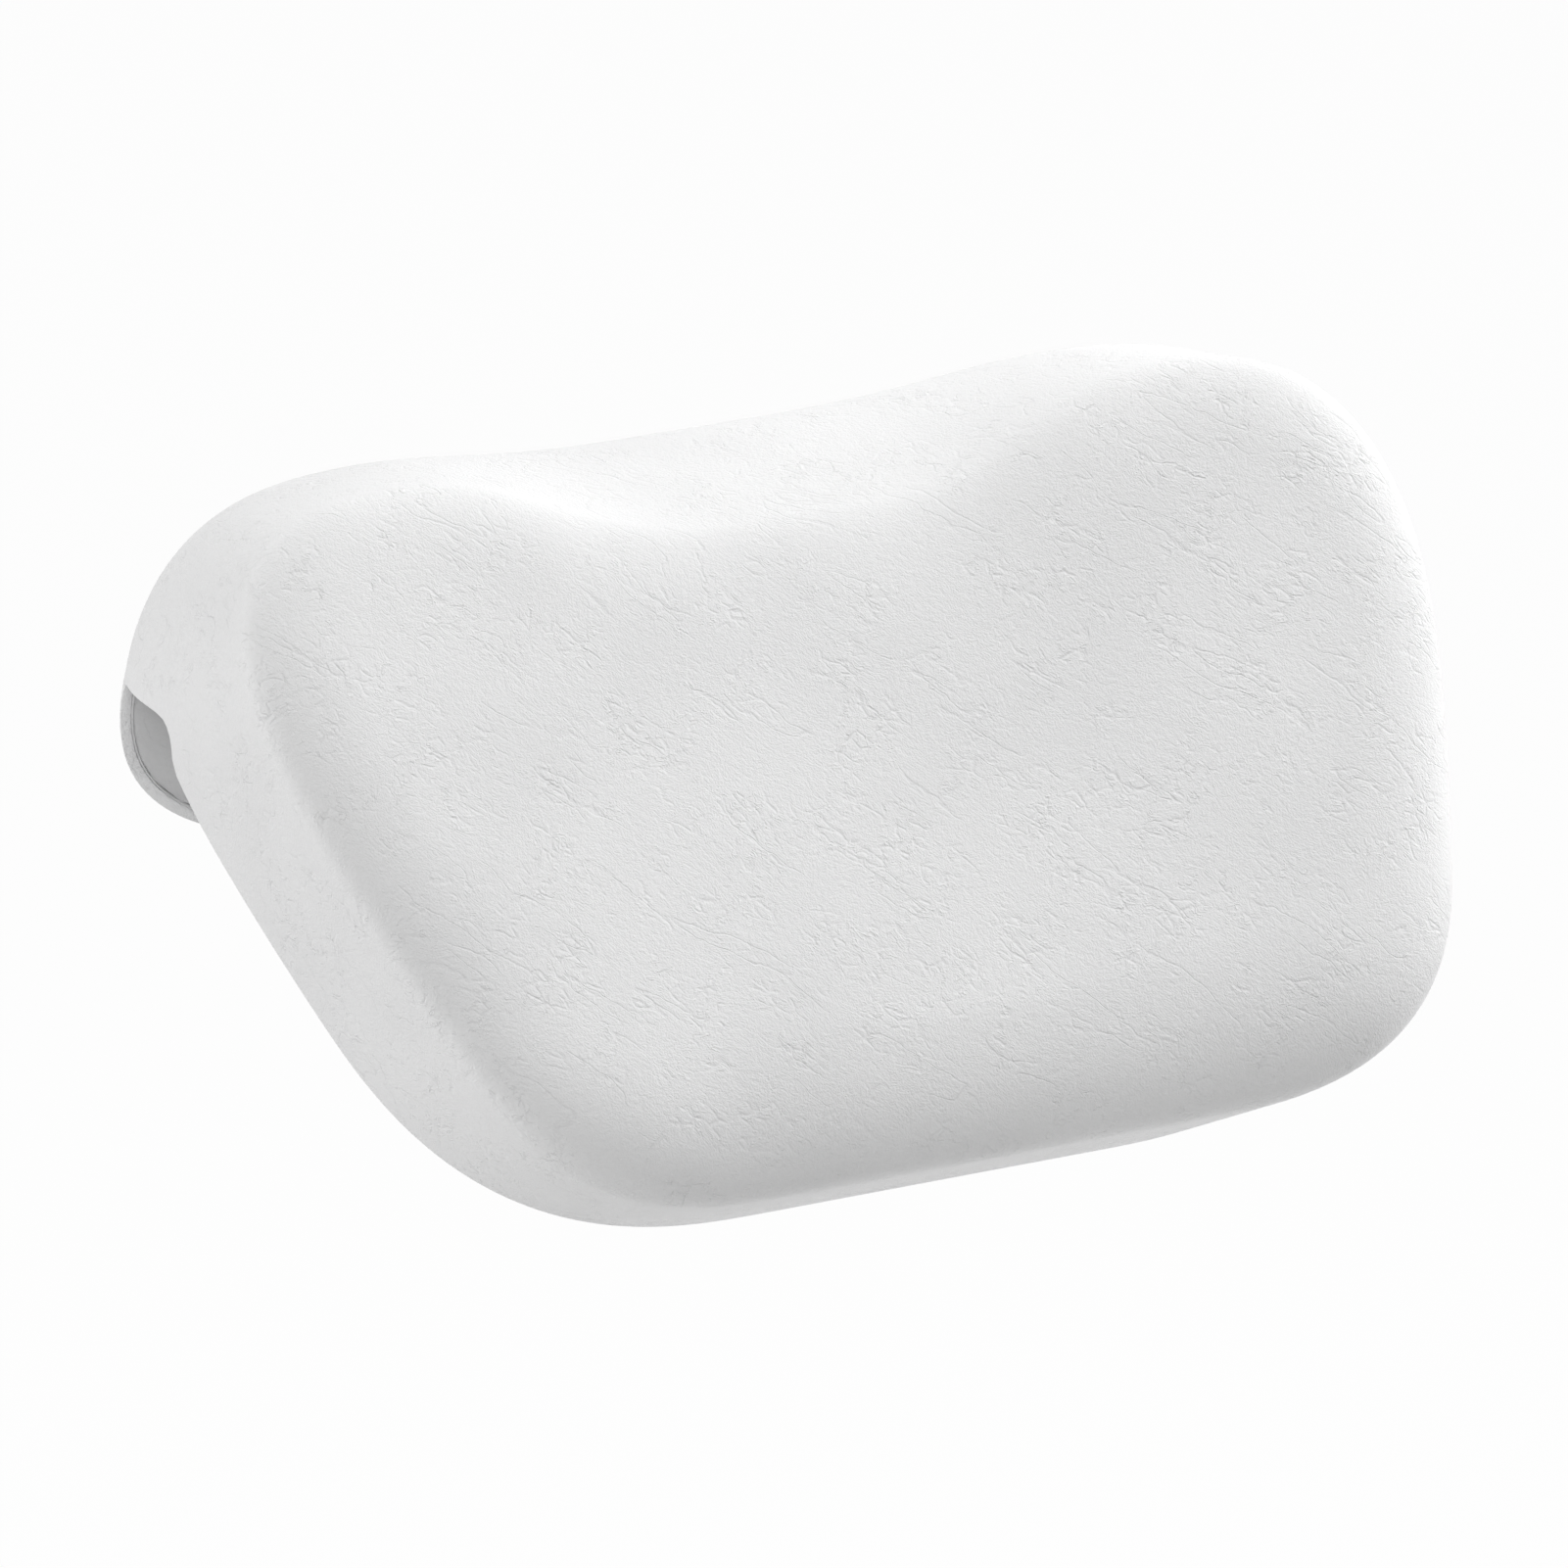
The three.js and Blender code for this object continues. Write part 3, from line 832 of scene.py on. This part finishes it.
# Leather grain pressed into the skin: a fine even grain and pebbles all over, forking furrows and raised
# folds in patches, and longer creases, all drawn out along one way
leather = {
    "light": (0.83, 0.83, 0.832, 1),
    "dark": (0.79, 0.79, 0.793, 1),
    "grainDegrees": -46,
    "bends": ({"scale": 34, "reach": 0.008}, {"scale": 260, "reach": 0.0016}),
    "fine": {"scale": 2300, "stretch": 1.2, "height": 0.65},
    "pebbles": {"scale": 1000, "stretch": 1.3, "height": 0.5},
    "net": {
        "scale": 330,
        "stretch": 1.8,
        "width": 0.16,
        "height": 0.42,
        "gateScale": 260,
        "gate": (0.46, 0.6),
    },
    "folds": {
        "scale": 800,
        "stretch": 1.5,
        "width": 0.1,
        "height": 0.32,
        "gateScale": 380,
        "gate": (0.53, 0.62),
    },
    "creases": {
        "scale": 150,
        "stretch": 5,
        "width": 0.022,
        "height": 0.4,
        "gateScale": 80,
        "gate": (0.53, 0.61),
    },
    "scaleIntoFoam": 0.8,
    "grainDetail": 1.5,
    "grainRoughness": 0.6,
    "patchScale": 75,
    "patchGate": (0.38, 0.68),
    "patchRange": (0.25, 1.3),
    # the creases' share darkens the colour along the creases: painted shade, over a random mottle
    "mottleAndCreaseShade": {"pebbles": 0.5, "scale": 18, "noise": 0.7, "creases": 0.2, "range": (0.3, 0.6)},
    "depth": 0.00027,
    "roughness": 0.5,
    "pebbleRoughness": 0.2,
    "gloss": 0.22,
    "ior": 1.45,
}

# The channel's skin is a darker grey copy of the leather, painted shade for the channel under the hook, and its
# grain shallower
liningWithPaintedShade = {
    **leather,
    "light": (0.63, 0.63, 0.632, 1),
    "dark": (0.59, 0.59, 0.593, 1),
    "depth": 0.00016,
}


def leatherFinish(name, skin):
    finish = newLook(name)
    turn = math.radians(skin["grainDegrees"])
    along = across * math.cos(turn) + upSlab * math.sin(turn)
    aside = np.cross(outOfFace, along)
    toGrain = Matrix((along, aside, outOfFace)).to_euler()
    turned = finish.node("ShaderNodeMapping", {}, {"Vector": finish.place(), "Rotation": toGrain})
    bent = turned
    for bend in skin["bends"]:
        drift = finish.noise(turned, bend["scale"], detail=1, output="Color")
        drift = finish.vector("SUBTRACT", {0: drift, 1: (0.5, 0.5, 0.5)})
        drift = finish.vector("SCALE", {"Vector": drift, "Scale": bend["reach"]})
        bent = finish.vector("ADD", {0: bent, 1: drift})

    def drawn(stretch):  # the place, drawn out along the grain
        scale = (1 / stretch, 1, skin["scaleIntoFoam"])
        return finish.node("ShaderNodeMapping", {}, {"Vector": bent, "Scale": scale})

    def letThrough(lines, kind):  # narrow furrows, where a coarser noise lets them through
        depths = 1 - finish.ramp(lines, 0, kind["width"])
        gaps = finish.noise(drawn(kind["stretch"] / 2), kind["gateScale"], detail=0)
        return depths * finish.ramp(gaps, *kind["gate"]) * kind["height"]

    def furrows(kind):  # loose furrows, where a noise crosses its middle
        return letThrough(abs(finish.noise(drawn(kind["stretch"]), kind["scale"], detail=1) - 0.5), kind)

    def net(kind):  # furrows that fork, as the borders of stretched cells
        values = {"Vector": drawn(kind["stretch"]), "Scale": kind["scale"]}
        borders = finish.node("ShaderNodeTexVoronoi", {"feature": "DISTANCE_TO_EDGE"}, values, "Distance")
        return letThrough(borders, kind)

    def grain(kind):
        noise = finish.noise(drawn(kind["stretch"]), kind["scale"], skin["grainDetail"], skin["grainRoughness"])
        return noise * kind["height"]

    patchNoise = finish.noise(turned, skin["patchScale"], detail=1)
    patches = finish.ramp(patchNoise, *skin["patchGate"], *skin["patchRange"])
    wrinkles = (furrows(skin["folds"]) - net(skin["net"])) * patches
    creases = furrows(skin["creases"])
    pebbles = grain(skin["pebbles"])
    height = pebbles + grain(skin["fine"]) + wrinkles - creases
    mottleAndCreaseShade = skin["mottleAndCreaseShade"]
    cloud = finish.noise(turned, mottleAndCreaseShade["scale"]) * mottleAndCreaseShade["noise"]
    # the tint is a random mottle, made darker along the creases as painted shade
    tint = finish.ramp(pebbles * mottleAndCreaseShade["pebbles"] + cloud - creases * mottleAndCreaseShade["creases"], *mottleAndCreaseShade["range"])
    return finish.surface(
        {
            "Base Color": finish.between(tint, skin["dark"], skin["light"]),
            "Roughness": skin["roughness"] + skin["pebbleRoughness"] * pebbles,
            "Normal": finish.relief(height, skin["depth"]),
            "IOR": skin["ior"],
            "Specular IOR Level": skin["gloss"],
        }
    )


# Foam: cream, with open cells
foamLook = {
    "light": (0.85, 0.79, 0.64, 1),
    "dark": (0.66, 0.58, 0.42, 1),
    "cellScale": 900,
    "wallRange": (0.1, 0.6),
    "depth": 0.0004,
    "roughness": 0.95,
}


def foamFinish():
    finish = newLook("open cell foam")
    values = {"Vector": finish.place(), "Scale": foamLook["cellScale"]}
    cells = finish.node("ShaderNodeTexVoronoi", {}, values, "Distance")
    walls = finish.ramp(cells, *foamLook["wallRange"])
    colour = finish.between(walls, foamLook["dark"], foamLook["light"])
    relief = finish.relief(1 - walls, foamLook["depth"])
    return finish.surface({"Base Color": colour, "Roughness": foamLook["roughness"], "Normal": relief})


# Moulded plastics, with a fine speckle and long faint scuffs
socketPlastic = {
    "light": (0.82, 0.82, 0.8, 1),
    "dark": (0.76, 0.76, 0.74, 1),
    "roughness": 0.42,
    "speckleScale": 1500,
    "depth": 0.00003,
}

platePlastic = {
    "light": (0.36, 0.37, 0.38, 1),
    "dark": (0.31, 0.32, 0.33, 1),
    "roughness": 0.5,
    "speckleScale": 900,
    "depth": 0.00006,
}

speckles = {"detail": 3, "roughness": 0.6, "range": (0.3, 0.7)}
scuffs = {"scale": 120, "stretch": (1, 8, 8), "gloss": 0.12}


def plasticFinish(name, plastic):
    finish = newLook(name)
    place = finish.place()
    speckle = finish.noise(place, plastic["speckleScale"], speckles["detail"], speckles["roughness"])
    drawn = finish.node("ShaderNodeMapping", {}, {"Vector": place, "Scale": scuffs["stretch"]})
    scuffing = finish.noise(drawn, scuffs["scale"]) - 0.5
    tint = finish.ramp(speckle, *speckles["range"])
    return finish.surface(
        {
            "Base Color": finish.between(tint, plastic["dark"], plastic["light"]),
            "Roughness": plastic["roughness"] + scuffs["gloss"] * scuffing,
            "Normal": finish.relief(speckle, plastic["depth"]),
        }
    )


# Clear soft vinyl, with the faint flow marks of moulding
vinyl = {
    "light": (0.93, 0.96, 0.97, 1),
    "dark": (0.84, 0.89, 0.91, 1),
    "flowScale": 90,
    "flowDetail": 3,
    "flowRoughness": 0.55,
    "flowDepth": 0.0003,
    "hazeScale": 700,
    "haze": 0.1,
    "roughness": 0.12,
    "transmission": 0.72,
    "ior": 1.5,
}


def vinylFinish():
    finish = newLook("clear vinyl")
    place = finish.place()
    flow = finish.noise(place, vinyl["flowScale"], vinyl["flowDetail"], vinyl["flowRoughness"])
    haze = finish.noise(place, vinyl["hazeScale"])
    return finish.surface(
        {
            "Base Color": finish.between(flow, vinyl["dark"], vinyl["light"]),
            "Roughness": vinyl["roughness"] + vinyl["haze"] * haze,
            "Normal": finish.relief(flow, vinyl["flowDepth"]),
            "Transmission Weight": vinyl["transmission"],
            "IOR": vinyl["ior"],
        }
    )


def dress(piece, material):
    piece.data.materials.clear()
    piece.data.materials.append(material)


dress(frontSkin, leatherFinish("grained white skin", leather))
# the channel's skin gets the leather in a darker grey: painted shade
dress(channelLining, leatherFinish("channel skin darkened as painted shade", liningWithPaintedShade))
dress(foamBody, foamFinish())
socketFinish = plasticFinish("white socket plastic", socketPlastic)
for bush in sockets:
    dress(bush, socketFinish)
cupFinish = vinylFinish()
for cup in cups:
    dress(cup, cupFinish)
plateFinish = plasticFinish("grey plate plastic", platePlastic)
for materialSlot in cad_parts["hook_stiffener"].material_slots:
    materialSlot.material = plateFinish
print("finishes made")


# What each piece stands for, and the body that it moves with
for piece, node in ((frontSkin, "outer_skin"), (channelLining, "channel_skin"), (foamBody, "foam_core")):
    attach(piece, "pillow")
    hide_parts(node)
for number, (bush, cup) in enumerate(zip(sockets, cups), start=1):
    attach(bush, "pillow")
    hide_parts(f"cup_socket_{number}")
    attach(cup, f"cup_{number}")
    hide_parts(f"suction_cup_{number}")
print("pieces ride on their bodies")


# Floor, light and camera, in metres
floor = {"drop": 0.8, "size": 60, "colour": (0.9, 0.9, 0.9, 1), "ownLightShare": 0.97}
backdrop = {"colour": (1, 1, 1, 1), "strength": 1}


def seenBy(look):  # 1 for the rays that see the backdrop: straight, in gloss or through something clear
    kinds = ("Is Camera Ray", "Is Glossy Ray", "Is Transmission Ray")
    return sum((look.node("ShaderNodeLightPath", output=kind) for kind in kinds), 0)


def makeFloor():
    bpy.ops.object.select_all(action="DESELECT")
    bpy.ops.mesh.primitive_plane_add(size=floor["size"], location=(0, 0, cadBox[0].z - floor["drop"]))
    plane = bpy.context.object
    plane.name = "pale_floor"
    finish = newLook("pale floor")
    diffuse = finish.node("ShaderNodeBsdfDiffuse", {}, {"Color": floor["colour"]}, "BSDF")
    values = {"Color": backdrop["colour"], "Strength": backdrop["strength"]}
    white = finish.node("ShaderNodeEmission", {}, values, "Emission")
    share = seenBy(finish) * floor["ownLightShare"]
    lit = finish.node("ShaderNodeMixShader", {}, {0: share, 1: diffuse, 2: white})
    clear = finish.node("ShaderNodeBsdfTransparent")
    fromBelow = finish.node("ShaderNodeNewGeometry", output="Backfacing")
    shader = finish.node("ShaderNodeMixShader", {}, {0: fromBelow, 1: lit, 2: clear})
    finish.node("ShaderNodeOutputMaterial", {}, {"Surface": shader})
    plane.data.materials.append(finish.owner)


daylight = {"strength": 0.2}
lampStand = {"distance": 1.8, "size": 0.9}
lamps = {  # degrees round from the front toward the right, degrees up, watts
    "right": {"azimuth": 90, "elevation": 8, "power": 16.8},
    "front right": {"azimuth": 75, "elevation": 35, "power": 9.6},
    "high back": {"azimuth": 120, "elevation": 62, "power": 14},
    "back right": {"azimuth": 135, "elevation": 35, "power": 4.6},
    "back left": {"azimuth": 240, "elevation": 8, "power": 12.6},
    "front left": {"azimuth": 315, "elevation": 35, "power": 12.8},
}


def makeSky():
    world = bpy.data.worlds.new("white studio")
    bpy.context.scene.world = world
    sky = Look(world)
    strength = sky.ramp(seenBy(sky), 0, 1, daylight["strength"], backdrop["strength"])
    background = sky.node("ShaderNodeBackground", {}, {"Color": backdrop["colour"], "Strength": strength})
    sky.node("ShaderNodeOutputWorld", {}, {"Surface": background})


def awayFrom(azimuthDegrees, elevationDegrees):  # the direction from the object out to a lamp or the camera
    azimuth, elevation = math.radians(azimuthDegrees), math.radians(elevationDegrees)
    flat = Vector((math.sin(azimuth), -math.cos(azimuth), 0)) * math.cos(elevation)
    return flat + Vector((0, 0, math.sin(elevation)))


def makeLamps():
    for name, lamp in lamps.items():
        light = bpy.data.lights.new(f"{name} lamp", "AREA")
        light.size = lampStand["size"]
        light.energy = lamp["power"]
        holder = bpy.data.objects.new(light.name, light)
        away = awayFrom(lamp["azimuth"], lamp["elevation"])
        holder.location = Vector(camera["aim"]) + away * lampStand["distance"]
        holder.rotation_euler = away.to_track_quat("Z", "Y").to_euler()
        bpy.context.scene.collection.objects.link(holder)


camera = {
    "azimuthDegrees": -27.33,
    "elevationDegrees": 19.88,
    "distance": 4.234,
    "frameWidth": 0.3836,
    "sensorWidth": 36,
    "farthestSeen": 100,
    "aim": (0.0008, -0.0322, -0.0372),
}


def makeCamera():
    back = awayFrom(camera["azimuthDegrees"], camera["elevationDegrees"])
    lens = bpy.data.cameras.new("camera")
    lens.sensor_width = camera["sensorWidth"]
    lens.lens = camera["sensorWidth"] * camera["distance"] / camera["frameWidth"]
    lens.clip_end = camera["farthestSeen"]
    holder = bpy.data.objects.new("camera", lens)
    holder.location = Vector(camera["aim"]) + back * camera["distance"]
    holder.rotation_euler = back.to_track_quat("Z", "Y").to_euler()
    bpy.context.scene.collection.objects.link(holder)
    bpy.context.scene.camera = holder


makeFloor()
makeSky()
makeLamps()
makeCamera()
bpy.context.scene.view_settings.view_transform = "Standard"
print("floor, lamps and camera made")
